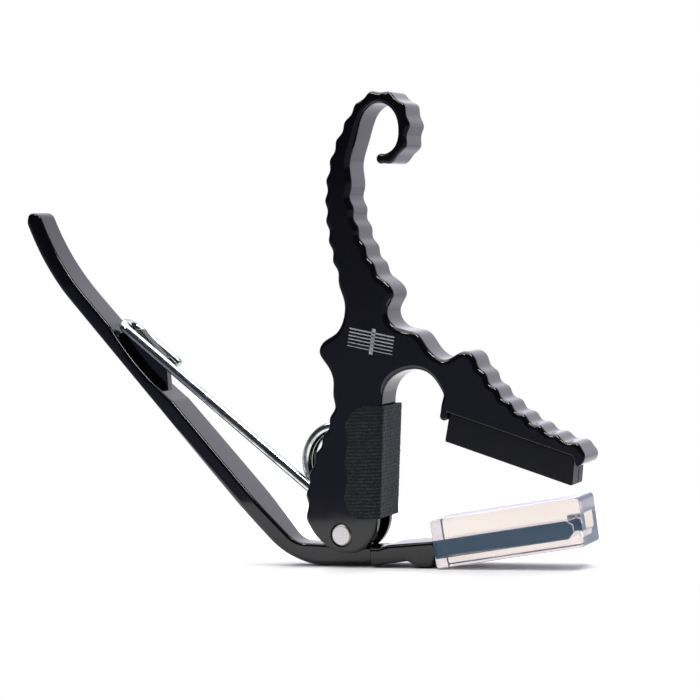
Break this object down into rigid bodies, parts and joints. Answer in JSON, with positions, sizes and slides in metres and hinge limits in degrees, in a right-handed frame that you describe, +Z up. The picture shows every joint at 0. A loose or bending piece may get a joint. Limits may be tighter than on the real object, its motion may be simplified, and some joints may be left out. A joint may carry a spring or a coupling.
{
  "type": "guitar capo",
  "caption": "Spring clamp guitar capo: wavy hooked upper handle and padded jaw hinged on a bent lever with a sleeved arm.",
  "frame": {"origin": "on the surface the capo stands on, at the centre of its outline seen from above", "axes": "+X from the lever's tip towards the jaws, +Y across the bar towards the far side, +Z up"},
  "size_m": [0.1407, 0.011, 0.1065],
  "materials": {
    "black_coat": "gloss black coating on cast alloy",
    "bright_steel": "satin",
    "spring_wire": "bright",
    "black_rubber": "satin",
    "clear_silicone": "translucent",
    "grey_felt": "woven",
    "adhesive_film": "matte"
  },
  "bodies": {
    "lever": {"lever": "black_coat", "neck_sleeve": "clear_silicone"},
    "body": {"jaw_body": "black_coat", "pivot_pin": "bright_steel", "fret_pad": "black_rubber", "edge_pad": "grey_felt", "edge_pad_adhesive": "adhesive_film"},
    "spring": {"torsion_spring": "spring_wire"}
  },
  "joints": [
    {"name": "squeeze", "type": "hinge", "parent": "lever", "child": "body", "pos_m": [0.0114, 0, 0.00745], "axis": [0, -1, 0], "range_deg": [0, 36], "stiffness_Nm_per_rad": 1.5, "springref_deg": -45.84, "deforming": ["torsion_spring"]},
    {"name": "spring_wind", "type": "hinge", "parent": "body", "child": "spring", "pos_m": [0.0104, 0, 0.02335], "axis": [0, -1, 0], "range_deg": [-44.3, 0]}
  ],
  "couplings": [
    {"joint": "spring_wind", "follows": "squeeze", "ratio": -1.23}
  ]
}
